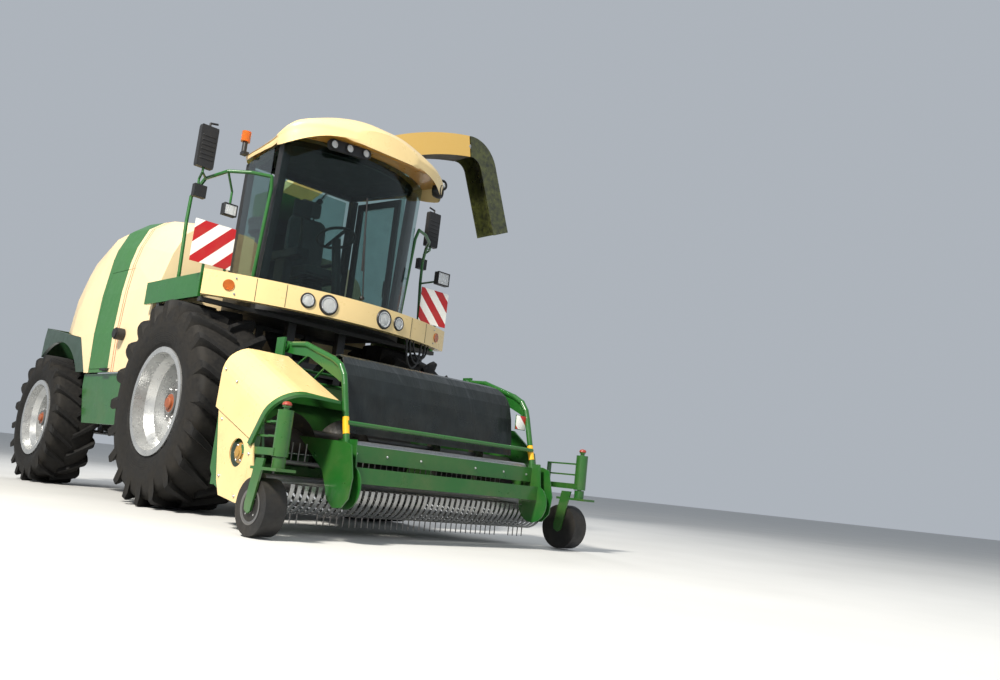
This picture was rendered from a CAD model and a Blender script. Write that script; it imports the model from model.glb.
import math

import bmesh
import bpy
from mathutils import Matrix, Vector


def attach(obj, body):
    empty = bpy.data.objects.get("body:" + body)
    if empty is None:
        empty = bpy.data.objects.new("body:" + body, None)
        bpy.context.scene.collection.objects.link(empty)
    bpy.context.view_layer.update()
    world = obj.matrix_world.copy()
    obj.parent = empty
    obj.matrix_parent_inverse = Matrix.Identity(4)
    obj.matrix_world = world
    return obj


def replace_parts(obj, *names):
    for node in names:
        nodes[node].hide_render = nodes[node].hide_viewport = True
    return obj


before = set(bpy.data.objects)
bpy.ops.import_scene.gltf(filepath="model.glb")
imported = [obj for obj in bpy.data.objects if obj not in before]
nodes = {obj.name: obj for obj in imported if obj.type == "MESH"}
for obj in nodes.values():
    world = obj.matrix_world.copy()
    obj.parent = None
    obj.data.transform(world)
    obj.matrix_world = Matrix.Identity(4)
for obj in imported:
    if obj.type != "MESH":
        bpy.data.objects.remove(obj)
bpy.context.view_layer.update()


# Places are given in the machine frame of the CAD source, in millimetres: x forward from the front
# axle, y to the left from the middle plane, z up. The part's own frame starts at the middle of its box.
MOVE_X = 628
MOVE_Y = -922


def P(x, y, z):
    return Vector(((x + MOVE_X) / 1000, (y + MOVE_Y) / 1000, z / 1000))


# Wheels in millimetres: place of the tyre's middle, then the tyre's radius and width, and the rim's radius
FRONT_X, FRONT_Y, FRONT_R, FRONT_W, FRONT_RIM = 0, 1135, 945, 690, 498
REAR_X, REAR_Y, REAR_R, REAR_W, REAR_RIM = -3170, 1210, 730, 500, 430


# Camera, worked out from the wheels, the lamps and the header in the photograph
def make_camera():
    yaw, pitch, roll = math.radians(44.445), math.radians(9.335), math.radians(-6.178)
    forward = Vector((-math.cos(yaw) * math.cos(pitch), math.sin(yaw) * math.cos(pitch), math.sin(pitch)))
    right = forward.cross(Vector((0, 0, 1))).normalized()
    up = right.cross(forward)
    image_right = math.cos(roll) * right - math.sin(roll) * up
    image_up = math.sin(roll) * right + math.cos(roll) * up
    data = bpy.data.cameras.new("camera")
    data.sensor_width = 36
    data.lens = 31.37
    data.clip_end = 200
    cam = bpy.data.objects.new("camera", data)
    bpy.context.collection.objects.link(cam)
    place = P(7786.6, -4817.6, 537.4)
    rows = Matrix((image_right, image_up, -forward)).transposed()
    cam.matrix_world = Matrix.Translation(place) @ rows.to_4x4()
    bpy.context.scene.camera = cam


make_camera()


# Materials

class Nodes:
    """A small helper around one material's node tree."""

    def __init__(self, name):
        self.mat = bpy.data.materials.new(name)
        self.mat.use_nodes = True
        self.tree = self.mat.node_tree
        self.bsdf = self.tree.nodes["Principled BSDF"]
        self.coord = self.tree.nodes.new("ShaderNodeTexCoord").outputs["Object"]

    def add(self, kind, **values):
        n = self.tree.nodes.new(kind)
        for key, value in values.items():
            setattr(n, key, value)
        return n

    def link(self, a, b):
        self.tree.links.new(a, b)

    def put(self, socket, value):
        if hasattr(value, "is_output"):
            self.link(value, socket)
        else:
            socket.default_value = value

    def math(self, op, a, b=0.0, c=0.0, clamp=False):
        n = self.add("ShaderNodeMath", operation=op, use_clamp=clamp)
        self.put(n.inputs[0], a)
        self.put(n.inputs[1], b)
        self.put(n.inputs[2], c)
        return n.outputs[0]

    def noise(self, scale, detail=4.0, rough=0.55, vector=None, distortion=0.0):
        n = self.add("ShaderNodeTexNoise")
        n.inputs["Scale"].default_value = scale
        n.inputs["Detail"].default_value = detail
        n.inputs["Roughness"].default_value = rough
        n.inputs["Distortion"].default_value = distortion
        self.link(vector if vector is not None else self.coord, n.inputs["Vector"])
        return n.outputs["Fac"]

    def ramp(self, value, low, high, out_low=0.0, out_high=1.0):
        n = self.add("ShaderNodeMapRange")
        n.clamp = True
        self.put(n.inputs["Value"], value)
        for key, v in (("From Min", low), ("From Max", high), ("To Min", out_low), ("To Max", out_high)):
            n.inputs[key].default_value = v
        return n.outputs["Result"]

    def mix(self, factor, a, b):
        n = self.add("ShaderNodeMix", data_type="RGBA")
        self.put(n.inputs[0], factor)
        for socket, v in ((n.inputs[6], a), (n.inputs[7], b)):
            self.put(socket, v if hasattr(v, "is_output") else (*v, 1))
        return n.outputs[2]

    def xyz(self):
        n = self.add("ShaderNodeSeparateXYZ")
        self.link(self.coord, n.inputs[0])
        return n.outputs

    def bump(self, height, strength, distance, after=None):
        n = self.add("ShaderNodeBump")
        n.inputs["Strength"].default_value = strength
        n.inputs["Distance"].default_value = distance
        self.link(height, n.inputs["Height"])
        if after is not None:
            self.link(after, n.inputs["Normal"])
        return n.outputs[0]

    def finish(self, colour, rough, metallic=0.0, normal=None, coat=0.0, specular=0.5):
        self.put(self.bsdf.inputs["Base Color"], colour if hasattr(colour, "is_output") else (*colour, 1))
        self.put(self.bsdf.inputs["Roughness"], rough)
        self.bsdf.inputs["Metallic"].default_value = metallic
        self.bsdf.inputs["Coat Weight"].default_value = coat
        self.bsdf.inputs["Coat Roughness"].default_value = 0.12
        self.bsdf.inputs["Specular IOR Level"].default_value = specular
        if normal is not None:
            self.link(normal, self.bsdf.inputs["Normal"])
        return self.mat


DUST = (0.20, 0.145, 0.07)


def shade(colour, factor):
    """The colour made darker or lighter."""
    return tuple(c * factor for c in colour)


def dusted(n, colour, low=0.2, high=1.5, most=0.5):
    """Field dust that thickens towards the ground, in patches."""
    z = n.xyz()[2]
    height = n.ramp(z, low, high, 1.0, 0.0)
    patch = n.ramp(n.noise(2.3, 6, 0.65), 0.38, 0.72)
    fine = n.ramp(n.noise(34, 3, 0.7), 0.3, 0.8, 0.4, 1.0)
    factor = n.math("MULTIPLY", n.math("MULTIPLY", n.math("ADD", height, 0.06), patch), fine)
    return n.mix(n.math("MULTIPLY", factor, most, clamp=True), colour, DUST)


def paint(name, colour, rough=0.28, dust=0.5, high=1.6, marks=None, coat=0.5, peel=0.05):
    """Sprayed paint: slight variation, orange peel, dust near the ground."""
    n = Nodes(name)
    base = n.mix(n.ramp(n.noise(1.4, 3), 0.3, 0.7), shade(colour, 0.90), colour)
    if marks:
        base = marks(n, base)
    base = dusted(n, base, high=high, most=dust)
    streak = n.noise(9, 5, 0.6)
    roughness = n.ramp(streak, 0.25, 0.8, rough * 0.8, rough * 1.5)
    normal = n.bump(n.noise(420, 1), peel, 0.0006)
    normal = n.bump(n.noise(3.1, 2), 0.05, 0.004, normal)
    return n.finish(base, roughness, 0.0, normal, coat)


def metal(name, colour, rough=0.35, dust=0.3, high=1.2, scale=60):
    n = Nodes(name)
    base = n.mix(n.ramp(n.noise(scale, 4), 0.3, 0.7), shade(colour, 0.78), colour)
    base = dusted(n, base, high=high, most=dust)
    roughness = n.ramp(n.noise(scale * 0.4, 5), 0.25, 0.8, rough * 0.75, rough * 1.4)
    normal = n.bump(n.noise(scale * 5, 2), 0.12, 0.0008)
    return n.finish(base, roughness, 0.85, normal)


def plastic(name, colour, rough=0.5, dust=0.35, high=1.6, grain=900):
    n = Nodes(name)
    base = n.mix(n.ramp(n.noise(5, 4), 0.3, 0.7), shade(colour, 0.8), shade(colour, 1.25))
    base = dusted(n, base, high=high, most=dust)
    roughness = n.ramp(n.noise(16, 4), 0.25, 0.8, rough * 0.8, min(1.0, rough * 1.3))
    normal = n.bump(n.noise(grain, 2), 0.15, 0.0006)
    return n.finish(base, roughness, 0.0, normal)


def apron(name):
    """Black glossy sheet with shallow creases that run down it."""
    n = Nodes(name)
    base = n.mix(n.ramp(n.noise(5, 4), 0.3, 0.7), (0.006, 0.0085, 0.009), (0.013, 0.017, 0.018))
    base = dusted(n, base, low=0.7, high=1.5, most=0.08)
    px, py, pz = n.xyz()
    run = n.add("ShaderNodeCombineXYZ")
    n.put(run.inputs[0], n.math("MULTIPLY", px, 1.2))
    n.put(run.inputs[1], n.math("MULTIPLY", py, 5.0))
    n.put(run.inputs[2], n.math("MULTIPLY", pz, 1.2))
    normal = n.bump(n.noise(1.3, 3, 0.5, run.outputs[0], 0.6), 0.5, 0.05)
    normal = n.bump(n.noise(300, 2), 0.12, 0.0008, normal)
    return n.finish(base, n.ramp(n.noise(7, 5), 0.3, 0.8, 0.24, 0.46), 0.0, normal, coat=0.15, specular=0.3)


def bands(n, base):
    """Broad green band across the hood, with two thin reddish lines ahead of it."""
    x, _, z = n.xyz()
    slope = 0.1086
    at = n.math("MULTIPLY_ADD", z, slope, x)
    start = -2.26 + MOVE_X / 1000 + 3.05 * slope

    def stripe(a, b, value, colour):
        after = n.math("GREATER_THAN", at, start + a)
        before = n.math("LESS_THAN", at, start + b)
        return n.mix(n.math("MULTIPLY", after, before), value, colour)

    base = stripe(0.0, 0.53, base, GREEN)
    base = stripe(0.62, 0.635, base, LINE)
    return stripe(0.67, 0.685, base, LINE)


def ochre_below(n, base):
    """The roof's lining shows on the faces that look down."""
    geo = n.add("ShaderNodeNewGeometry")
    sep = n.add("ShaderNodeSeparateXYZ")
    n.link(geo.outputs["Normal"], sep.inputs[0])
    down = n.ramp(sep.outputs[2], -0.75, -0.35, 1.0, 0.0)
    return n.mix(down, base, (0.36, 0.17, 0.02))


def spout_faces(n, base):
    """The spout's sides are ochre and its underside is dark."""
    sep = n.add("ShaderNodeSeparateXYZ")
    n.link(n.tree.nodes["Texture Coordinate"].outputs["Normal"], sep.inputs[0])
    side = n.ramp(n.math("ABSOLUTE", sep.outputs[0]), 0.5, 0.8)
    base = n.mix(side, base, (0.56, 0.36, 0.10))
    return n.mix(n.ramp(sep.outputs[2], -0.45, -0.2, 1.0, 0.0), base, (0.05, 0.04, 0.02))


def flap_faces(n, base):
    """Only the flap's outer wall is cream; the rest is dark and stained by the crop."""
    _, py, pz = n.xyz()
    hinge_y = 2.7472
    hinge_z = 4.7254
    wall = 0.486
    lean = math.radians(24)
    y = n.math("ADD", py, -MOVE_Y / 1000 - hinge_y)
    z = n.math("ADD", pz, -hinge_z)
    c, s = math.cos(lean), math.sin(lean)
    across = n.math("ADD", n.math("MULTIPLY", y, c), n.math("MULTIPLY", z, s))
    before = n.math("LESS_THAN", n.math("ADD", n.math("MULTIPLY", y, s), n.math("MULTIPLY", z, -c)), 0.0)
    radius = n.math("SQRT", n.math("ADD", n.math("MULTIPLY", y, y), n.math("MULTIPLY", z, z)))
    reach = n.math("MAXIMUM", across, n.math("MULTIPLY", radius, before))
    stain = n.mix(n.ramp(n.noise(14, 7, 0.7), 0.35, 0.7), (0.012, 0.014, 0.008), (0.075, 0.085, 0.022))
    return n.mix(n.math("GREATER_THAN", reach, wall), stain, base)


def axle_distance(n, x, z):
    """Distance from a wheel's axis, given in the part's frame."""
    px, _, pz = n.xyz()
    dx = n.math("ADD", px, -x)
    dz = n.math("ADD", pz, -z)
    return n.math("SQRT", n.math("ADD", n.math("MULTIPLY", dx, dx), n.math("MULTIPLY", dz, dz)))


def tyre_rubber(name, x, radius, rim, lug):
    """Tyre rubber: dusty between the lugs and in the mould rings of the wall, darker where it is worn."""
    n = Nodes(name)
    r = axle_distance(n, x, radius)
    patch = n.ramp(n.noise(7, 6, 0.7), 0.35, 0.75)
    low = n.ramp(r, radius - lug * 1.1, radius - lug * 0.55, 1.0, 0.12)
    wall = n.ramp(r, rim + 0.02, rim + 0.22, 0.25, 0.9)
    dust = n.math("MULTIPLY", n.math("MULTIPLY", low, wall), n.math("MULTIPLY_ADD", patch, 0.45, 0.12))
    base = n.mix(n.ramp(n.noise(28, 4), 0.3, 0.7), (0.006, 0.006, 0.0065), (0.013, 0.013, 0.013))
    base = n.mix(n.math("MULTIPLY", dust, 0.55, clamp=True), base, (0.045, 0.036, 0.024))
    rings = n.math("SINE", n.math("MULTIPLY", r, 330.0))
    on_wall = n.ramp(r, rim + 0.13, rim + 0.15, 1.0, 0.0)
    height = n.math("MULTIPLY", rings, on_wall)
    normal = n.bump(height, 0.25, 0.002)
    normal = n.bump(n.noise(160, 4, 0.7), 0.35, 0.002, normal)
    return n.finish(base, n.ramp(patch, 0, 1, 0.62, 0.9), 0.0, normal, specular=0.22)


def rim_paint(name, x, radius, colour=(0.55, 0.56, 0.56)):
    n = Nodes(name)
    r = axle_distance(n, x, radius)
    base = n.mix(n.ramp(n.noise(3.5, 4), 0.3, 0.7), shade(colour, 0.8), colour)
    grime = n.math("MULTIPLY", n.ramp(n.noise(5, 5, 0.6), 0.45, 0.8), 0.16)
    base = n.mix(grime, base, (0.20, 0.16, 0.10))
    turned = n.bump(n.math("SINE", n.math("MULTIPLY", r, 900.0)), 0.05, 0.0006)
    return n.finish(base, n.ramp(n.noise(14, 4), 0.25, 0.8, 0.2, 0.42), 0.7, turned, coat=0.25)


def glass(name, tint, rough=0.02):
    n = Nodes(name)
    smear = n.noise(6, 5, 0.65)
    n.put(n.bsdf.inputs["Base Color"], n.mix(n.ramp(smear, 0.35, 0.75), tint, shade(tint, 0.88)))
    n.put(n.bsdf.inputs["Roughness"], n.ramp(smear, 0.3, 0.8, rough, rough + 0.05))
    n.bsdf.inputs["Transmission Weight"].default_value = 1.0
    n.bsdf.inputs["IOR"].default_value = 1.08
    n.bsdf.inputs["Coat Weight"].default_value = 0.6
    n.bsdf.inputs["Coat Roughness"].default_value = 0.02
    return n.mat


def lamp_glass(name, tint, ribs=260.0):
    n = Nodes(name)
    _, py, _ = n.xyz()
    wave = n.math("SINE", n.math("MULTIPLY", py, ribs))
    n.put(n.bsdf.inputs["Base Color"], n.mix(n.ramp(n.noise(20, 3), 0.3, 0.7), tint, shade(tint, 0.85)))
    n.put(n.bsdf.inputs["Roughness"], n.ramp(n.noise(30, 3), 0.3, 0.8, 0.04, 0.16))
    n.bsdf.inputs["Transmission Weight"].default_value = 0.6
    n.bsdf.inputs["IOR"].default_value = 1.35
    n.bsdf.inputs["Coat Weight"].default_value = 0.8
    n.link(n.bump(wave, 0.25, 0.002), n.bsdf.inputs["Normal"])
    return n.mat


def warning(name):
    """Red and white diagonal stripes of a width warning panel."""
    n = Nodes(name)
    _, py, pz = n.xyz()
    side = n.math("ABSOLUTE", n.math("ADD", py, -MOVE_Y / 1000))
    along = n.math("ADD", side, pz)
    stripe_pair = 0.26
    cell = n.math("FRACT", n.math("MULTIPLY", along, 1 / stripe_pair))
    red = n.math("LESS_THAN", cell, 0.5)
    base = n.mix(red, (0.78, 0.77, 0.72), (0.40, 0.004, 0.006))
    base = n.mix(n.ramp(n.noise(8, 6), 0.45, 0.85, 0.0, 0.22), base, DUST)
    cells = n.add("ShaderNodeTexVoronoi")
    cells.inputs["Scale"].default_value = 260
    n.link(n.coord, cells.inputs["Vector"])
    return n.finish(base, 0.32, 0.0, n.bump(cells.outputs["Distance"], 0.12, 0.0008), coat=0.4)


def woven(name, colour, scale=900.0):
    """Seat cloth: a woven pattern with slight colour variation."""
    n = Nodes(name)
    px, py, pz = n.xyz()
    a = n.math("SINE", n.math("MULTIPLY", n.math("ADD", px, pz), scale))
    b = n.math("SINE", n.math("MULTIPLY", py, scale))
    weave = n.math("MULTIPLY", a, b)
    base = n.mix(n.ramp(weave, -0.8, 0.8), shade(colour, 0.6), shade(colour, 1.5))
    n.bsdf.inputs["Sheen Weight"].default_value = 0.3
    return n.finish(base, 0.9, 0.0, n.bump(weave, 0.3, 0.0012))


CREAM = (0.76, 0.57, 0.265)
GREEN = (0.030, 0.130, 0.032)
LINE = (0.42, 0.07, 0.02)
FRONT_AXLE = ((FRONT_X + MOVE_X) / 1000, FRONT_R / 1000)
REAR_AXLE = ((REAR_X + MOVE_X) / 1000, REAR_R / 1000)
M = {
    "cream": paint("cream_paint", CREAM),
    "hood": paint("hood_paint", (0.76, 0.60, 0.36), rough=0.42, marks=bands, coat=0.12),
    "roof": paint("roof_paint", (0.78, 0.59, 0.28), marks=ochre_below),
    "spout": paint("spout_paint", CREAM, rough=0.6, marks=spout_faces, coat=0.0),
    "flap": paint("flap_paint", CREAM, marks=flap_faces),
    "green": paint("green_paint", (0.011, 0.098, 0.013), rough=0.30, dust=0.42, high=1.3),
    "dark_green": paint("dark_green_paint", (0.006, 0.032, 0.010), rough=0.36, dust=0.4),
    "dark": paint("chassis_paint", (0.022, 0.023, 0.025), rough=0.45, dust=0.5, high=1.7, coat=0.15),
    "black": plastic("black_plastic", (0.010, 0.0105, 0.012), dust=0.25),
    "lining": plastic("dark_lining", (0.012, 0.013, 0.014), rough=0.8, dust=0.0),
    "apron": apron("apron_sheet"),
    "steel": metal("steel", (0.55, 0.56, 0.57)),
    "rod": metal("chromed_rod", (0.82, 0.83, 0.84), rough=0.12, dust=0.05, scale=20),
    "bands": metal("stripper_metal", (0.42, 0.43, 0.44), rough=0.3, dust=0.3),
    "tines": metal("tine_steel", (0.24, 0.24, 0.24), rough=0.42, dust=0.4),
    "front_tyre": tyre_rubber("front_tyre_rubber", *FRONT_AXLE, FRONT_RIM / 1000, 0.062),
    "rear_tyre": tyre_rubber("rear_tyre_rubber", *REAR_AXLE, REAR_RIM / 1000, 0.052),
    "gauge": plastic("gauge_rubber", (0.007, 0.007, 0.0075), rough=0.6, dust=0.12),
    "front_rim": rim_paint("front_rim_paint", *FRONT_AXLE),
    "rear_rim": rim_paint("rear_rim_paint", *REAR_AXLE),
    "glass": glass("cab_glass_tint", (0.40, 0.55, 0.53)),
    "lens": lamp_glass("lamp_lens", (0.92, 0.94, 0.94)),
    "amber": lamp_glass("amber_lens", (0.85, 0.22, 0.02), 700.0),
    "red": lamp_glass("red_lens", (0.65, 0.02, 0.015), 700.0),
    "chrome": metal("reflector", (0.88, 0.88, 0.88), rough=0.08, dust=0.0, scale=10),
    "warning": warning("warning_stripes"),
    "seat": woven("seat_cloth", (0.05, 0.055, 0.06)),
    "hub_grey": paint("hub_paint", (0.07, 0.072, 0.075), rough=0.4, dust=0.3),
    "cap": paint("cap_paint", (0.26, 0.055, 0.012), rough=0.5, dust=0.4),
    "gearbox": paint("gearbox_paint", (0.34, 0.19, 0.03), rough=0.5, dust=0.5, high=1.4),
    "grease": paint("grease_cap", (0.32, 0.03, 0.015), rough=0.4, dust=0.3),
    "yellow": paint("reflector_strip", (0.80, 0.42, 0.015), rough=0.3, dust=0.1),
    "hose": plastic("hose_rubber", (0.014, 0.014, 0.015), rough=0.55),
    "mirror": metal("mirror_glass", (0.85, 0.87, 0.88), rough=0.03, dust=0.0, scale=4),
}

node_material = {
    "frame": "dark", "front_axle": "dark", "rear_axle": "dark", "chopping_unit": "dark", "crop_chute": "dark",
    "engine_block": "dark", "engine_hood": "hood", "rear_grille": "black", "rear_box": "dark_green",
    "side_door_left": "hood", "side_door_right": "hood", "lower_side_panels": "green",
    "platform_deck": "green", "ladder": "green", "cab_body": "black", "cab_roof": "roof",
    "windscreen": "glass", "cab_glass": "glass", "door_glass": "glass", "cab_door": "black",
    "steering_column": "black", "front_fascia": "cream", "headlamps": "lens", "marker_lamps": "amber",
    "mirrors": "black", "handrails": "green", "warning_panels": "warning", "spout_ring": "dark",
    "spout_base": "green", "spout_arm": "spout", "spout_flap": "flap", "spout_barrel": "black",
    "spout_rod": "rod", "feeder_housing": "dark_green", "header_frame": "green", "side_shields": "cream",
    "stripper_bands": "bands", "auger": "dark", "pickup_reel": "tines", "crop_guard": "green",
    "guard_apron": "apron", "press_roller": "steel", "caster_left": "green", "caster_right": "green",
    "gauge_wheel_left": "gauge", "gauge_wheel_right": "gauge", "lift_barrels": "black", "lift_rods": "rod",
    "knuckle_left": "dark", "knuckle_right": "dark", "steering_rod": "steel",
    "front_tyre_left": "front_tyre", "front_tyre_right": "front_tyre", "front_rim_left": "front_rim",
    "front_rim_right": "front_rim", "rear_tyre_left": "rear_tyre", "rear_tyre_right": "rear_tyre",
    "rear_rim_left": "rear_rim", "rear_rim_right": "rear_rim", "seat": "seat",
}
for name, key in node_material.items():
    for slot in nodes[name].material_slots:
        slot.material = M[key]


# Pieces

def piece(bm, name, mat, body, smooth=35):
    """Turns a bmesh into an object that rides on a body."""
    bmesh.ops.recalc_face_normals(bm, faces=bm.faces[:])
    mesh = bpy.data.meshes.new(name)
    bm.to_mesh(mesh)
    bm.free()
    obj = bpy.data.objects.new(name, mesh)
    bpy.context.collection.objects.link(obj)
    mesh.materials.append(M[mat])
    if smooth:
        for f in mesh.polygons:
            f.use_smooth = True
        mesh.set_sharp_from_angle(angle=math.radians(smooth))
    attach(obj, body)
    return obj


def axes(direction):
    """Two directions square to the one given."""
    d = Vector(direction).normalized()
    side = d.cross(Vector((0, 0, 1)))
    if side.length < 0.05:
        side = d.cross(Vector((0, 1, 0)))
    side.normalize()
    return d, side, d.cross(side)


def add_lathe(bm, profile, centre, direction, count=40):
    """A turned form: profile gives radius and distance along the axis in mm."""
    d, u, v = axes(direction)
    rings = []
    for r, h in profile:
        c = centre + d * (h / 1000)
        if r < 0.01:
            rings.append([bm.verts.new(c)])
            continue
        rings.append([bm.verts.new(c + (u * math.cos(a) + v * math.sin(a)) * (r / 1000))
                      for a in (2 * math.pi * k / count for k in range(count))])
    for a, b in zip(rings, rings[1:]):
        if len(a) == 1 and len(b) == 1:
            continue
        for k in range(count):
            j = (k + 1) % count
            corners = [a[k % len(a)], a[j % len(a)], b[j % len(b)], b[k % len(b)]]
            bm.faces.new(list(dict.fromkeys(corners)))


def lathe(name, profile, centre, direction, mat, body, count=40):
    bm = bmesh.new()
    add_lathe(bm, profile, centre, direction, count)
    return piece(bm, name, mat, body)


def add_box(bm, a, b, bevel=3.0, steps=2):
    """A box between two corners in the machine frame, with rounded edges."""
    lo = P(*(min(p, q) for p, q in zip(a, b)))
    hi = P(*(max(p, q) for p, q in zip(a, b)))
    part = bmesh.new()
    bmesh.ops.create_cube(part, size=1)
    for v in part.verts:
        v.co = Vector([lo[i] + (v.co[i] + 0.5) * (hi[i] - lo[i]) for i in range(3)])
    small = min(hi[i] - lo[i] for i in range(3))
    bmesh.ops.bevel(part, geom=part.edges[:], offset=min(bevel / 1000, small * 0.45), segments=steps,
                    affect="EDGES", profile=0.5)
    mesh = bpy.data.meshes.new("part")
    part.to_mesh(mesh)
    part.free()
    bm.from_mesh(mesh)
    bpy.data.meshes.remove(mesh)


def spline(p0, p1, p2, p3, t):
    """A point between p1 and p2 on a Catmull-Rom curve."""
    return 0.5 * ((2 * p1) + (p2 - p0) * t + (2 * p0 - 5 * p1 + 4 * p2 - p3) * t * t
                  + (3 * p1 - p0 - 3 * p2 + p3) * t * t * t)


def smooth_path(points, steps=8):
    """A Catmull-Rom curve through the points."""
    pts = [points[0] * 2 - points[1]] + list(points) + [points[-1] * 2 - points[-2]]
    out = []
    for i in range(1, len(pts) - 2):
        out += [spline(*pts[i - 1:i + 3], s / steps) for s in range(steps)]
    out.append(points[-1])
    return out


def skin(bm, rings):
    """Walls between successive rings with the same number of points."""
    for a, b in zip(rings, rings[1:]):
        for k in range(len(a)):
            j = (k + 1) % len(a)
            bm.faces.new((a[k], a[j], b[j], b[k]))


def add_tube(bm, path, radius, count=12):
    """A round tube along a path."""
    _, u, _ = axes((path[1] - path[0]).normalized())
    rings = []
    for i, p in enumerate(path):
        d = (path[min(i + 1, len(path) - 1)] - path[max(i - 1, 0)]).normalized()
        u = (u - d * u.dot(d)).normalized()
        v = d.cross(u)
        rings.append([bm.verts.new(p + (u * math.cos(a) + v * math.sin(a)) * (radius / 1000))
                      for a in (2 * math.pi * k / count for k in range(count))])
    skin(bm, rings)
    bm.faces.new(rings[0][::-1])
    bm.faces.new(rings[-1])


def add_bolt(bm, centre, direction, size, height):
    """A hexagon head with a chamfer on a washer."""
    d, u, v = axes(direction)
    rows = []
    top = 2
    add_lathe(bm, [(0, -1), (size * 1.05, -1), (size * 1.05, top), (0, top)], centre, direction, 16)
    for r, h in ((size * 0.86, top), (size * 0.86, top + height * 0.8), (size * 0.7, top + height)):
        rows.append([bm.verts.new(centre + d * (h / 1000) + (u * math.cos(a) + v * math.sin(a)) * (r / 1000))
                     for a in (math.pi / 3 * k for k in range(6))])
    skin(bm, rows)
    bm.faces.new(rows[-1])
    bm.faces.new(rows[0][::-1])


def bolts(name, places, direction, mat, body, size, height):
    bm = bmesh.new()
    for p in places:
        add_bolt(bm, P(*p), direction, size, height)
    return piece(bm, name, mat, body, smooth=25)


def both(make):
    """Makes something on the left and then on the right."""
    for side, word in ((1, "left"), (-1, "right")):
        make(side, word)


# Tyres: a carcass and long curved lugs that run from the middle down the shoulder
LUG_TURN = -1


def tyre(name, centre, r, w, rim, count, lug_h, lug_t, mat, body):
    """A tyre of radius r and width w, with count lugs a side that sweep round the axle by LUG_TURN."""
    seat = w * 0.44 - 1
    crown = r - lug_h
    half = [(rim - 39, seat), (rim + 8, seat), (rim + 24, seat + 6), (rim + 60, w * 0.478),
            (rim + (crown - rim) * 0.45, w * 0.5), (crown - lug_h * 1.6, w * 0.478),
            (crown - lug_h * 0.62, w * 0.44), (crown - lug_h * 0.16, w * 0.37), (crown + 2, w * 0.2),
            (crown + 4, 0)]
    half = [tuple(p) for p in smooth_path([Vector(p) for p in half], 4)]
    profile = half + [(a, -b) for a, b in half[-2::-1]]
    bm = bmesh.new()
    add_lathe(bm, profile + [profile[0]], P(*centre), (0, 1, 0), 120)

    def surface(y):
        """Radius of the carcass at a distance from its middle plane."""
        for (a, b), (c, d) in zip(half[::-1], half[-2::-1]):
            if b <= abs(y) <= d or d <= abs(y) <= b:
                return a + (c - a) * (abs(y) - b) / ((d - b) or 1)
        return half[0][0]

    def place(angle, y, radius):
        return P(centre[0] + radius * math.sin(angle), centre[1] + y, centre[2] + radius * math.cos(angle))

    steps = 15
    for k in range(count):
        for side in (1, -1):
            start = 2 * math.pi * (k + (0.25 if side > 0 else -0.25)) / count
            rows = []
            for i in range(steps + 1):
                t = i / steps
                y = w * (-0.02 + 0.52 * min(1.0, t * 1.14) ** 0.94)
                down = max(0.0, t - 0.80) / 0.20
                sweep = w * (0.52 * t - 0.10 * t * t) / r
                top = r - 3 * (1 - t) - lug_h * (0.10 * t ** 3 + 1.25 * down ** 1.4)
                y = min(y, w * 0.499) - 4 * down
                wide = lug_t * (0.86 + 0.55 * t ** 1.5 - 0.25 * down)
                foot = min(surface(y), top) - lug_h * (0.25 + 0.8 * down)
                turn = start + LUG_TURN * sweep
                lean = 0.5 * wide / r
                base = lean * 1.42
                rows.append([bm.verts.new(place(turn + a, side * b, c)) for a, b, c in (
                    (-base, y, foot), (-lean * 1.08, y, top - lug_h * 0.14), (-lean * 0.92, y, top),
                    (lean * 0.92, y, top), (lean * 1.08, y, top - lug_h * 0.14), (base, y, foot))])
            skin(bm, rows)
            bm.faces.new(rows[0])
            bm.faces.new(rows[-1][::-1])
    return piece(bm, name, mat, body, 32)


def tyres(side, word):
    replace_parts(tyre("front_tread_" + word, (FRONT_X, side * FRONT_Y, FRONT_R), FRONT_R, FRONT_W, FRONT_RIM,
                     20, 55, 56, "front_tyre", "front_wheel_" + word), "front_tyre_" + word)
    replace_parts(tyre("rear_tread_" + word, (REAR_X, side * REAR_Y, REAR_R), REAR_R, REAR_W, REAR_RIM,
                     18, 45, 46, "rear_tyre", "rear_wheel_" + word), "rear_tyre_" + word)


both(tyres)


# Wheels: nuts, hub rings, caps and bolts
def wheel_details(side, word, axle, x, y, r, disc_y, hub_r, nut_r, nuts):
    body = "%s_wheel_%s" % (axle, word)
    out = (0, side, 0)
    face = y + side * disc_y
    nut_seat = 27
    bolt_seat = 86
    bolt_r = hub_r * 0.7
    bm = bmesh.new()
    for k in range(nuts):
        a = 2 * math.pi * k / nuts
        seat = P(x + nut_r * math.cos(a), face + side * nut_seat, r + nut_r * math.sin(a))
        add_bolt(bm, seat, out, 17, 24)
    piece(bm, "%s_wheel_nuts_%s" % (axle, word), "steel", body, 25)
    lathe("%s_hub_ring_%s" % (axle, word), [
        (hub_r * 1.02, 40), (hub_r * 1.02, 64), (hub_r * 0.98, 72), (hub_r * 0.86, 76), (hub_r * 0.80, 84),
        (hub_r * 0.58, 92), (hub_r * 0.56, 112), (hub_r * 0.5, 118), (hub_r * 0.48, 108)
    ], P(x, face, r), out, "hub_grey", body, 64)
    lathe("%s_hub_cap_%s" % (axle, word), [
        (hub_r * 0.46, 104), (hub_r * 0.44, 112), (hub_r * 0.30, 114), (hub_r * 0.29, 130),
        (hub_r * 0.24, 138), (0, 141)
    ], P(x, face, r), out, "cap", body, 48)
    bm = bmesh.new()
    for k in range(8):
        a = 2 * math.pi * (k + 0.5) / 8
        seat = P(x + bolt_r * math.cos(a), face + side * bolt_seat, r + bolt_r * math.sin(a))
        add_bolt(bm, seat, out, 10, 9)
    piece(bm, "%s_hub_bolts_%s" % (axle, word), "steel", body, 25)


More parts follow.
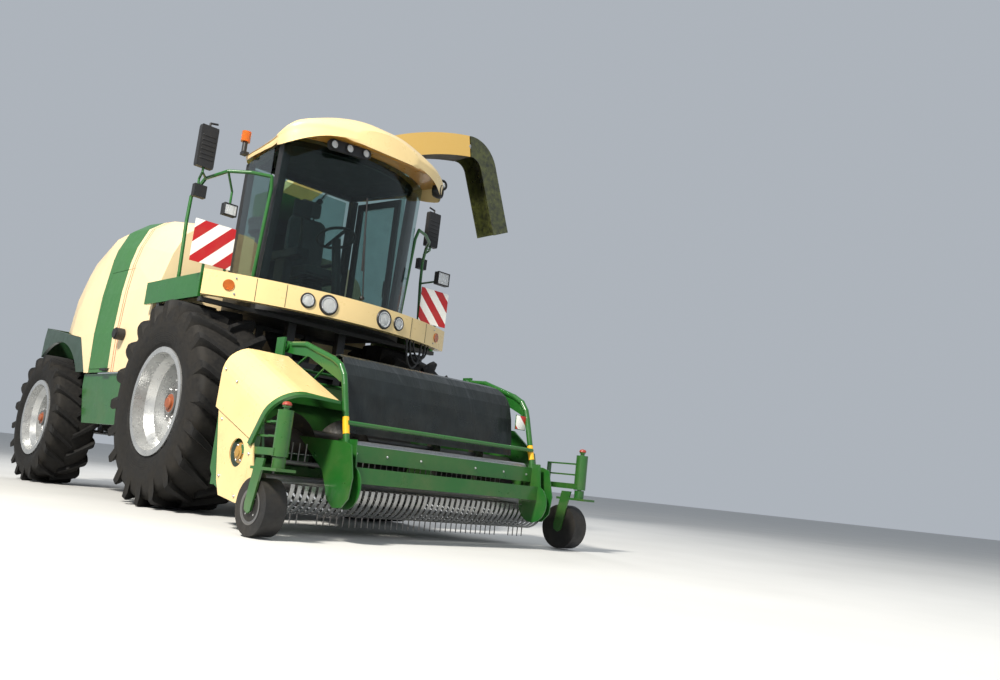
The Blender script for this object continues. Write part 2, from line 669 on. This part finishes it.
both(lambda s, w: wheel_details(s, w, "front", FRONT_X, s * FRONT_Y, FRONT_R, 60, 190, 228, 10))
both(lambda s, w: wheel_details(s, w, "rear", REAR_X, s * REAR_Y, REAR_R, 40, 150, 180, 10))


# Fascia, bent round an upright axis: where its front is, its radius, its lamps' height, their y and radius
FASCIA_X = 885
FASCIA_R = 3015
FASCIA_Z = 2022
HEADLAMPS = ((330, 78), (540, 58))


def fascia_place(y, depth):
    """A place at that distance in front of the fascia, and the direction in which it looks there."""
    a = math.asin(y / FASCIA_R)
    reach = FASCIA_R + depth
    place = (FASCIA_X - FASCIA_R + reach * math.cos(a), reach * math.sin(a), FASCIA_Z)
    return place, (math.cos(a), math.sin(a), 0)


# Lamps: bowl, bulb and ribbed glass behind a bezel
def round_lamp(name, centre, direction, r, body="chassis", lens="lens", bezel="black"):
    c = P(*centre)
    lathe(name + "_bowl", [(0, -26), (r * 0.3, -25), (r * 0.6, -18), (r * 0.86, -2)],
          c, direction, "chrome", body)
    lathe(name + "_bulb", [(0, -4), (r * 0.12, -6), (r * 0.14, -14), (r * 0.14, -25)],
          c, direction, "steel", body, 16)
    lathe(name + "_glass", [(0, 6), (r * 0.4, 5), (r * 0.8, 2), (r * 0.88, 0), (r * 0.88, -3), (0, 2)],
          c, direction, lens, body)
    lathe(name + "_bezel", [(r * 0.86, -4), (r * 0.88, 6), (r * 0.97, 8), (r * 1.04, 5), (r * 1.04, -2)],
          c, direction, bezel, body, 48)


def headlamps(side, word):
    for k, (y, r) in enumerate(HEADLAMPS):
        where, out = fascia_place(side * y, 6)
        round_lamp("headlamp_%d_%s" % (k, word), where, out, r * 0.97, bezel="chrome")


both(headlamps)
for k, (y, x, z) in enumerate(((-540, 900, 3540), (-380, 925, 3549), (-205, 945, 3556))):
    round_lamp("roof_lamp_%d" % k, (x + 12, y, z), (1, 0, 0), 42)


def square_lamp(name, x, y, z, hy, hz):
    """Reflector and rim of a lamp whose middle is at x, y and z, hy and hz to each side."""
    bm = bmesh.new()
    add_box(bm, (x + 58, y - hy + 9, z - hz + 9), (x + 62, y + hy - 9, z + hz - 9), 3)
    piece(bm, name + "_reflector", "chrome", "chassis")
    rim = bmesh.new()
    for a, b in (((x + 52, y - hy - 3, z - hz - 3), (x + 71, y - hy + 9, z + hz + 3)),
                 ((x + 52, y + hy - 9, z - hz - 3), (x + 71, y + hy + 3, z + hz + 3)),
                 ((x + 52, y - hy, z - hz - 3), (x + 71, y + hy, z - hz + 9)),
                 ((x + 52, y - hy, z + hz - 9), (x + 71, y + hy, z + hz + 3))):
        add_box(rim, a, b, 4, 3)
    piece(rim, name + "_bezel", "black", "chassis")


square_lamp("work_lamp_right", 150, -1130, 2815, 66, 56)
square_lamp("work_lamp_left", 385, 1390, 2735, 84, 72)


# Dark rims round the headlamps, and seams and bolts on the fascia
def lamp_rims(side, word):
    for k, (y, r) in enumerate(HEADLAMPS):
        where, out = fascia_place(side * y, 0)
        lathe("headlamp_rim_%d_%s" % (k, word), [
            (r * 0.98, -6), (r * 0.98, 9), (r * 1.06, 13), (r * 1.20, 11), (r * 1.27, 2), (r * 1.27, -6)
        ], P(*where), out, "black", "chassis", 56)
    for y in (745, 1010):
        (x, at, _), out = fascia_place(side * y, 1)
        bm = bmesh.new()
        add_tube(bm, [P(x, at, 1918), P(x, at, 2126)], 2.6, 8)
        piece(bm, "fascia_seam_%d_%s" % (y, word), "lining", "chassis")
    (x, at, _), out = fascia_place(side * 1180, 2)
    bolts("fascia_bolts_" + word, [(x, at, 1950), (x, at, 2094)], out, "steel", "chassis", 9, 7)


both(lamp_rims)


def oval(name, a, b, r, thick, mat, body):
    """A flat plate with round ends between two points that face forward."""
    a, b = P(*a), P(*b)
    along = (b - a).normalized()
    out = along.cross(Vector((0, 0, 1))).normalized()
    if out.x < 0:
        out = -out
    up = Vector((0, 0, 1))
    turns = [math.pi * (k / 12 - 0.5) for k in range(13)]
    edge = [a + (along * -math.cos(t) + up * math.sin(t)) * (r / 1000) for t in turns]
    edge += [b + (along * math.cos(t) - up * math.sin(t)) * (r / 1000) for t in turns]
    centre = (a + b) / 2
    bm = bmesh.new()
    rows = []
    for shrink, depth in ((0.9, 0.0), (1.0, 0.004), (1.0, thick / 1000), (0.97, thick / 1000 + 0.004)):
        rows.append([bm.verts.new(centre + (p - centre) * shrink + out * depth) for p in edge])
    skin(bm, rows)
    bm.faces.new(rows[0])
    bm.faces.new(rows[-1][::-1])
    return piece(bm, name, mat, body)


oval("roof_lamp_housing", (872, -548, 3540), (925, -197, 3556), 55, 24, "black", "chassis")


# Cab: lining under the roof
def lining():
    bm = bmesh.new()
    plan = [(-500, 625), (390, 790), (520, 640), (600, 450), (650, 230), (668, 0)]
    plan += [(x, -y) for x, y in plan[-2::-1]]
    low = [bm.verts.new(P(x, y, 3588)) for x, y in plan]
    high = [bm.verts.new(P(x, y, 3596)) for x, y in plan]
    skin(bm, [low, high])
    bm.faces.new(low)
    bm.faces.new(high)
    piece(bm, "cab_lining", "lining", "chassis", 0)


lining()


# Roof: a smooth skin through the same stations, with the raised cap's edge at the front
ROOF_Z = 3600
CAP_X = 458
ROOF = [
    (-560, 640, -15, 25, 100, 150), (-400, 735, -25, 30, 185, 245), (0, 800, -40, 28, 235, 315),
    (330, 855, -70, 30, 248, 334), (600, 915, -130, 36, 236, 326), (770, 925, -145, 52, 215, 306),
    (880, 800, -80, 90, 206, 280), (960, 620, -15, 102, 188, 242), (1030, 350, 28, 108, 154, 184)
]


def roof():
    """Each row of ROOF is x, half width, and the lip, edge, shoulder and crown above ROOF_Z."""
    rows = []
    for k in range(len(ROOF) - 1):
        pick = [Vector(ROOF[min(max(k + d, 0), len(ROOF) - 1)]) for d in (-1, 0, 1, 2)]
        rows += [spline(*pick, step / 6) for step in range(6)]
    rows.append(Vector(ROOF[-1]))
    for x in (CAP_X - 6, CAP_X + 6):
        after = next(k for k, row in enumerate(rows) if row[0] > x)
        a, b = rows[after - 1], rows[after]
        rows.insert(after, a + (b - a) * ((x - a[0]) / (b[0] - a[0])))
    bm = bmesh.new()
    rings = []
    for row in rows:
        x, w = row[0], row[1]
        lip, edge, shoulder, crown = (ROOF_Z + row[j] for j in (2, 3, 4, 5))
        raised = 14 if x > CAP_X else 0
        lip = lip if raised else max(lip, ROOF_Z - 62)
        w += 0.6 * raised
        half = [Vector((0, w, lip)), Vector((0, w * 1.01, (lip + edge) / 2)), Vector((0, w * 0.985, edge)),
                Vector((0, w * 0.62, shoulder)), Vector((0, w * 0.3, crown - 8)), Vector((0, 0, crown))]
        line = half + [Vector((0, -p.y, p.z)) for p in half[-2::-1]]
        line = smooth_path(line, 5)
        centre = Vector((0, 0, edge - 300))
        ring = []
        for p in line:
            lift = raised * min(max((p.z - edge - 12) / 10, 0), 1)
            q = p + (p - centre).normalized() * lift
            ring.append(bm.verts.new(P(x, q.y, q.z)))
        ring.append(bm.verts.new(P(x, 50 - w, ROOF_Z)))
        ring.append(bm.verts.new(P(x, w - 50, ROOF_Z)))
        rings.append(ring)
    skin(bm, rings)
    bm.faces.new(rings[0])
    bm.faces.new(rings[-1])
    obj = piece(bm, "roof_skin", "roof", "chassis", 40)
    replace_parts(obj, "cab_roof")


roof()


# Wiper on the windscreen
def on_screen(y, z, off):
    """A place in front of the windscreen, which is round in plan and leans forward from its foot."""
    middle_x = -624
    radius = 1354
    foot_z = 2150
    lean = 0.07
    return (middle_x + math.sqrt(radius ** 2 - y * y) + lean * (z - foot_z) + off, y, z)


def wiper():
    lathe("wiper_pivot", [(0, -10), (22, -10), (24, 10), (18, 18), (0, 20)], P(*on_screen(120, 2200, 14)),
          (1, 0, 0.1), "black", "chassis", 24)
    arm = ((120, 2200), (80, 2420), (40, 2660), (20, 2800))
    blade = ((60, 2460), (30, 2720), (0, 2960), (-30, 3180))
    bm = bmesh.new()
    add_tube(bm, smooth_path([P(*on_screen(y, z, 30)) for y, z in arm]), 7)
    add_tube(bm, smooth_path([P(*on_screen(y, z, 18)) for y, z in blade]), 9)
    piece(bm, "wiper", "black", "chassis")


wiper()


# Seat: crowned pads with seams, on a bellows and rails, with armrests
def pad(name, a, b, thin, crown, seams, mat):
    """A stuffed pad between two corners, crowned along its thin axis, with seams across it."""
    bm = bmesh.new()
    bmesh.ops.create_cube(bm, size=2)
    bmesh.ops.subdivide_edges(bm, edges=bm.edges[:], cuts=15, use_grid_fill=True)
    mid = [(p + q) / 2 for p, q in zip(a, b)]
    half = [abs(p - q) / 2 for p, q in zip(a, b)]
    others = [k for k in range(3) if k != thin]
    for v in bm.verts:
        u = list(v.co)
        size = sum(abs(c) ** 7 for c in u) ** (1 / 7)
        u = [c / max(size, 0.001) for c in u]
        grow = crown * (1 - u[others[0]] ** 2) * (1 - u[others[1]] ** 2)
        for axis, at, depth in seams:
            grow -= depth * math.exp(-((u[axis] - at) / 0.06) ** 2)
        q = [m + h * c for m, h, c in zip(mid, half, u)]
        q[thin] += math.copysign(grow * min(1, abs(u[thin]) * 1.2), u[thin])
        v.co = P(*q)
    obj = piece(bm, name, mat, "chassis", 60)
    return obj


seams = [(1, -0.62, 9), (1, 0.62, 9)]
cushion = pad("seat_cushion", (-236, -232, 2428), (222, 232, 2528), 2, 14, seams + [(0, 0.1, 5)], "seat")
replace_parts(cushion, "seat")
pad("seat_back", (-318, -222, 2545), (-226, 222, 3128), 0, 12, seams + [(2, -0.2, 6), (2, 0.45, 6)], "seat")
pad("seat_headrest", (-290, -122, 3150), (-222, 122, 3322), 0, 8, [], "seat")
lathe("seat_bellows", [
    (60, 0), (118, 4), (104, 22), (118, 44), (104, 66), (118, 90), (104, 114), (118, 138), (104, 162),
    (118, 188), (104, 212), (118, 236), (104, 258), (60, 268)
], P(-20, 0, 2152), (0, 0, 1), "black", "chassis")


def seat_frame():
    """Pan, rails, the headrest's two stems, and the armrests on their cross tube."""
    bm = bmesh.new()
    add_box(bm, (-200, -190, 2404), (180, 190, 2430), 8)
    for y in (-150, 150):
        add_box(bm, (-220, y - 22, 2396), (200, y + 22, 2410), 3)
    for y in (-60, 60):
        add_tube(bm, [P(-262, y, 3080), P(-258, y, 3190)], 9)
    for y in (-262, 262):
        add_box(bm, (-280, y - 26, 2640), (60, y + 26, 2676), 14, 4)
    add_tube(bm, [P(-266, -280, 2658), P(-266, 280, 2658)], 12)
    piece(bm, "seat_frame", "black", "chassis")


seat_frame()


# Shield: green trim round its arch with a pointed tip, gearbox behind its hole, bolts
SHIELD_TILT = 24


def shield_edge(level):
    """Where a line that slopes by SHIELD_TILT from that level meets the front edge, which has a bend."""
    bend_x = 2300
    bend_z = 880
    z = (level + 279.8) / 1.318 if level > bend_z else (level + 255.5) / 1.2904
    x = bend_x + (z - bend_z) * (0.714 if z > bend_z else 0.652)
    return x, z


def shield_trim():
    tilt = math.radians(SHIELD_TILT)
    back = Vector((-math.cos(tilt), 0, math.sin(tilt)))
    line = [(1100, 1050, 0), (1200, 1053, 0), (1300, 1056, 0)]
    line += [(1632 - 250 * (1 - math.sin(a)), 1058 - 250 * (1 - math.cos(a)), a)
             for a in (math.radians(d) for d in range(0, 91, 6))]
    line += [(1632, z, math.pi / 2) for z in (740, 670, 600, 540)]
    bm = bmesh.new()
    rings = []
    for k, (y, level, a) in enumerate(line):
        x, z = shield_edge(level)
        wide = 52 * min(1, 0.12 + k / 3.4)
        out = Vector((0, -math.sin(a), math.cos(a)))
        front = Vector((x + 4, -y, z))
        section = ((-16, 0), (4, 0), (5, 6), (5, wide - 4), (1, wide), (-2, wide), (-2, 8), (-16, 8))
        rings.append([bm.verts.new(P(*(front + out * o + back * b))) for o, b in section])
    skin(bm, rings)
    bm.faces.new(rings[0])
    bm.faces.new(rings[-1][::-1])
    piece(bm, "shield_trim", "green", "header", 50)


shield_trim()
lathe("drive_gearbox", [
    (0, -60), (62, -60), (78, -40), (82, -8), (74, 4), (52, 8), (50, 18), (34, 22), (32, 30), (0, 31)
], P(1930, -1590, 560), (0, -1, 0), "gearbox", "header", 48)
bolts("gearbox_bolts", [(1930 + 63 * math.cos(a), -1590 - 4, 560 + 63 * math.sin(a))
                        for a in (math.pi / 3 * k for k in range(6))], (0, -1, 0), "steel", "header", 9, 8)
bolts("shield_bolts", [(1640, -1620, 800), (1725, -1620, 380), (1990, -1620, 250), (2110, -1620, 560)],
      (0, -1, 0), "steel", "header", 11, 8)
bolts("shield_top_bolts", [(1600, -1632, 1180), (1800, -1632, 1080)], (0, -1, 0), "steel", "header", 10, 7)


# Casters: grease caps, and rims and bolts of the gauge wheels
def caster_parts(side, word):
    body = "caster_" + word
    lathe("caster_cap_" + word, [(0, -2), (30, -2), (34, 4), (30, 18), (16, 26), (0, 28)],
          P(2505, side * 1610, 914), (0, 0, 1), "grease", body)
    wheel = "gauge_wheel_" + word
    profile = [(116, 76), (124, 82), (126, 86), (116, 88), (104, 84), (92, 74), (58, 72), (52, 82), (30, 84),
               (28, 90), (0, 92)]
    lathe("gauge_rim_" + word, profile, P(2360, side * 1610, 208), (0, side, 0), "hub_grey", wheel, 48)
    bolts("gauge_bolts_" + word, [(2360 + 74 * math.cos(a), side * (1610 + 74), 208 + 74 * math.sin(a))
                                  for a in (math.pi / 2 * (k + 0.5) for k in range(4))],
          (0, side, 0), "steel", wheel, 9, 7)


both(caster_parts)


# Crop guard: reflector strips on its feet, small striped plate, bolts along its beams
def guard_parts(side, word):
    bm = bmesh.new()
    foot = [P(2302 + (1150 - z) * 128 / 460, side * 1020, z) for z in (905, 840, 780)]
    add_tube(bm, foot, 26.6, 20)
    piece(bm, "reflector_strip_" + word, "yellow", "crop_guard")
    bolts("guard_beam_bolts_" + word, [(2440, side * y, 647) for y in (300, 640, 930)], (1, 0, 0), "steel",
          "crop_guard", 9, 7)
    bolts("guard_pivot_bolt_" + word, [(1420, side * 1046, 1480)], (0, side, 0), "steel",
          "crop_guard", 20, 14)
    bolts("guard_disc_bolts_" + word, [(2482 + 60 * math.cos(a), side * 1011, 400 + 60 * math.sin(a))
                                       for a in (math.pi / 2 * (k + 0.5) for k in range(4))],
          (0, side, 0), "steel", "crop_guard", 9, 7)


both(guard_parts)
bm = bmesh.new()
add_box(bm, (2303, 876, 1044), (2306, 998, 1166), 1)
piece(bm, "guard_plate", "warning", "crop_guard")


# Mirrors: glass behind, ribs on the housing
def mirror_parts(side, word):
    bm = bmesh.new()
    add_box(bm, (76, side * 1345, 3205), (80.5, side * 1485, 3515), 2)
    add_box(bm, (-4, side * 1332, 2902), (0.5, side * 1428, 2998), 2)
    piece(bm, "mirror_glass_" + word, "mirror", "chassis")
    bm = bmesh.new()
    for z in range(3230, 3500, 45):
        add_box(bm, (138, side * 1350, z), (144, side * 1480, z + 16), 5, 3)
    piece(bm, "mirror_ribs_" + word, "black", "chassis")


both(mirror_parts)


# Tail lamps
def tail_lamp(side, word):
    bm = bmesh.new()
    add_box(bm, (-3724, side * 1026, 1566), (-3714, side * 1128, 1674), 4)
    piece(bm, "tail_lamp_" + word, "red", "chassis")
    bm = bmesh.new()
    add_box(bm, (-3724, side * 1132, 1566), (-3714, side * 1234, 1674), 4)
    piece(bm, "turn_lamp_" + word, "amber", "chassis")


both(tail_lamp)


# Beacon, and the lamps at the roof's left tip
lathe("beacon", [(0, 0), (36, 0), (38, 6), (46, 10), (47, 70), (42, 96), (26, 108), (0, 112)],
      P(-400, -790, 3752), (0, 0, 1), "amber", "chassis", 40)
lathe("corner_pod", [(0, -86), (44, -86), (58, -50), (62, -6), (57, 6), (45, 7), (44, -8), (0, -10)],
      P(732, 985, 3665), (1, 0, 0), "black", "chassis", 48)
round_lamp("corner_lamp", (728, 985, 3665), (1, 0, 0), 40)
tip_out = (0.82, 0.57, 0)
lathe("roof_tip_pod", [
    (0, -70), (62, -70), (80, -30), (84, 6), (76, 24), (62, 30), (56, 22), (52, 6), (0, 2)
], P(800, 892, 3555), tip_out, "black", "chassis", 56)
lathe("roof_tip_lens", [(0, 12), (26, 10), (44, 4), (46, -2), (0, -2)],
      P(806, 896, 3555), tip_out, "lens", "chassis", 40)


# Hoses that loop down under the fascia's left end
def hose(name, a, b, drop, r):
    """A hanging hose between two points, declared with its own length."""
    a, b = P(*a), P(*b)
    down = Vector((0, 0, -drop / 1000))
    points = []
    for k in range(25):
        t = k / 24
        points.append(a.lerp(b, 0.5 - 0.5 * math.cos(math.pi * t)) + down * math.sin(math.pi * t))
    bm = bmesh.new()
    add_tube(bm, points, r, 14)
    obj = piece(bm, name, "hose", "chassis")


def under_fascia(y):
    """A place just inside the fascia's lower edge."""
    middle_r = 2970
    edge_z = 1916
    return FASCIA_X - FASCIA_R + math.sqrt(middle_r ** 2 - y * y), y, edge_z


for k, (a, b, drop, r) in enumerate(((800, 1090, 230, 12), (745, 1010, 290, 12), (860, 1150, 170, 10))):
    hose("hose_loop_%d" % k, under_fascia(a), under_fascia(b), drop, r)


# Spout's knee: pins and bolts
KNEE_Z = 5044
for x, out in ((-852, 1), (-1148, -1)):
    word = "front" if out > 0 else "back"
    lathe("knee_pin_" + word, [(0, -4), (34, -4), (36, 2), (36, 14), (30, 20), (18, 22), (16, 28), (0, 29)],
          P(x, 2659, KNEE_Z), (out, 0, 0), "steel", "spout_arm", 32)
    bolts("knee_bolts_" + word, [(x - out * 2, 2590 + dy, KNEE_Z + dz)
                               for dy in (0, -90) for dz in (110, -90)],
          (out, 0, 0), "steel", "spout_arm", 12, 9)


# Floor and light
bm = bmesh.new()
bmesh.ops.create_grid(bm, x_segments=2, y_segments=2, size=400)
mesh = bpy.data.meshes.new("floor")
bm.to_mesh(mesh)
bm.free()
floor = bpy.data.objects.new("floor", mesh)
bpy.context.collection.objects.link(floor)
n = Nodes("floor_surface")
n.finish(n.mix(n.ramp(n.noise(0.6, 5), 0.3, 0.7), (0.50, 0.50, 0.49), (0.55, 0.55, 0.54)), 0.8)
mesh.materials.append(n.mat)

world = bpy.data.worlds.new("world")
bpy.context.scene.world = world
world.use_nodes = True
back = world.node_tree.nodes["Background"]
back.inputs["Color"].default_value = (0.84, 0.91, 1.0, 1)
back.inputs["Strength"].default_value = 0.5
bpy.context.scene.view_settings.view_transform = "Standard"


def area(name, place, target, size, power, colour=(1, 1, 1)):
    data = bpy.data.lights.new(name, "AREA")
    data.shape = "DISK"
    data.size = size
    data.energy = power
    data.color = colour
    obj = bpy.data.objects.new(name, data)
    bpy.context.collection.objects.link(obj)
    obj.location = place
    obj.rotation_euler = (target - place).to_track_quat("-Z", "Y").to_euler()
    obj.visible_camera = False
    obj.visible_transmission = False
    obj.visible_glossy = name == "key"


middle = P(-300, 0, 1600)
area("key", P(4500, -9500, 10500), middle, 2.0, 3900, (1.0, 0.95, 0.86))
area("fill", P(10500, 2500, 5000), middle, 7.0, 260, (0.92, 0.96, 1.0))
area("rim", P(-8500, 6500, 7500), middle, 5.0, 700)
